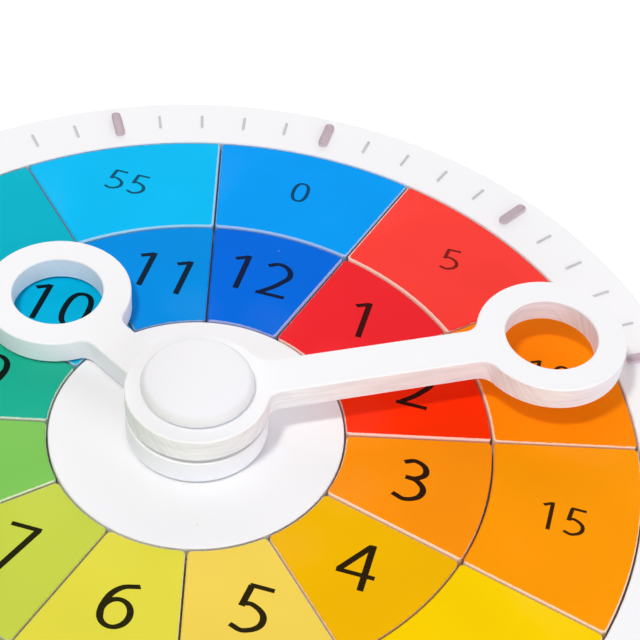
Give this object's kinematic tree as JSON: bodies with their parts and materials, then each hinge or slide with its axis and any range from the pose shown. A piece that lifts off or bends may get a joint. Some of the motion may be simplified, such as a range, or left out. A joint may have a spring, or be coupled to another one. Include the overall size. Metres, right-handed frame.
{
  "type": "teaching clock",
  "caption": "Round wooden teaching clock lying face up, with coloured hour and minute tiles and two ring-ended hands that turn on one pivot.",
  "frame": {"origin": "centre of the back of the base board, on the pivot's axis", "axes": "+Z out of the dial, +Y towards 12 o'clock, +X towards 3 o'clock"},
  "size_m": [0.28, 0.28, 0.0326],
  "materials": {
    "white_board_paint": "satin white paint on birch plywood",
    "white_hand_paint": "satin white paint on birch plywood, grain showing at the sawn edges",
    "hour_tile_1": "satin printed colour on birch plywood",
    "hour_tile_2": "satin printed colour on birch plywood",
    "hour_tile_3": "satin printed colour on birch plywood",
    "hour_tile_4": "satin printed colour on birch plywood",
    "hour_tile_5": "satin printed colour on birch plywood",
    "hour_tile_6": "satin printed colour on birch plywood",
    "hour_tile_7": "satin printed colour on birch plywood",
    "hour_tile_8": "satin printed colour on birch plywood",
    "hour_tile_9": "satin printed colour on birch plywood",
    "hour_tile_10": "satin printed colour on birch plywood",
    "hour_tile_11": "satin printed colour on birch plywood",
    "hour_tile_12": "satin printed colour on birch plywood",
    "minute_tile_00": "satin printed colour on birch plywood",
    "minute_tile_05": "satin printed colour on birch plywood",
    "minute_tile_10": "satin printed colour on birch plywood",
    "minute_tile_15": "satin printed colour on birch plywood",
    "minute_tile_20": "satin printed colour on birch plywood",
    "minute_tile_25": "satin printed colour on birch plywood",
    "minute_tile_30": "satin printed colour on birch plywood",
    "minute_tile_35": "satin printed colour on birch plywood",
    "minute_tile_40": "satin printed colour on birch plywood",
    "minute_tile_45": "satin printed colour on birch plywood",
    "minute_tile_50": "satin printed colour on birch plywood",
    "minute_tile_55": "satin printed colour on birch plywood",
    "nylon": "natural nylon sheet",
    "spring_steel": "dark spring steel",
    "zinc_plated_steel": "bright zinc plating",
    "cap_plastic": "satin moulded plastic"
  },
  "bodies": {
    "board": {"base_board": "white_board_paint", "rim_ring": "white_board_paint", "centre_disc": "white_board_paint", "hour_tile_1": "hour_tile_1", "hour_tile_2": "hour_tile_2", "hour_tile_3": "hour_tile_3", "hour_tile_4": "hour_tile_4", "hour_tile_5": "hour_tile_5", "hour_tile_6": "hour_tile_6", "hour_tile_7": "hour_tile_7", "hour_tile_8": "hour_tile_8", "hour_tile_9": "hour_tile_9", "hour_tile_10": "hour_tile_10", "hour_tile_11": "hour_tile_11", "hour_tile_12": "hour_tile_12", "minute_tile_00": "minute_tile_00", "minute_tile_05": "minute_tile_05", "minute_tile_10": "minute_tile_10", "minute_tile_15": "minute_tile_15", "minute_tile_20": "minute_tile_20", "minute_tile_25": "minute_tile_25", "minute_tile_30": "minute_tile_30", "minute_tile_35": "minute_tile_35", "minute_tile_40": "minute_tile_40", "minute_tile_45": "minute_tile_45", "minute_tile_50": "minute_tile_50", "minute_tile_55": "minute_tile_55", "lower_washer": "nylon", "middle_washer": "nylon", "disc_spring": "spring_steel", "top_washer": "zinc_plated_steel", "pivot_barrel": "zinc_plated_steel", "pivot_screw": "zinc_plated_steel"},
    "hour_hand": {"hour_hand": "white_hand_paint"},
    "minute_hand": {"minute_hand": "white_hand_paint", "hub_cap": "cap_plastic"}
  },
  "joints": [
    {"name": "hour_hand_turn", "type": "hinge", "parent": "board", "child": "hour_hand", "pos_m": [0, 0, 0.01425], "axis": [0, 0, 1], "continuous": true},
    {"name": "minute_hand_turn", "type": "hinge", "parent": "board", "child": "minute_hand", "pos_m": [0, 0, 0.02075], "axis": [0, 0, 1], "continuous": true}
  ]
}
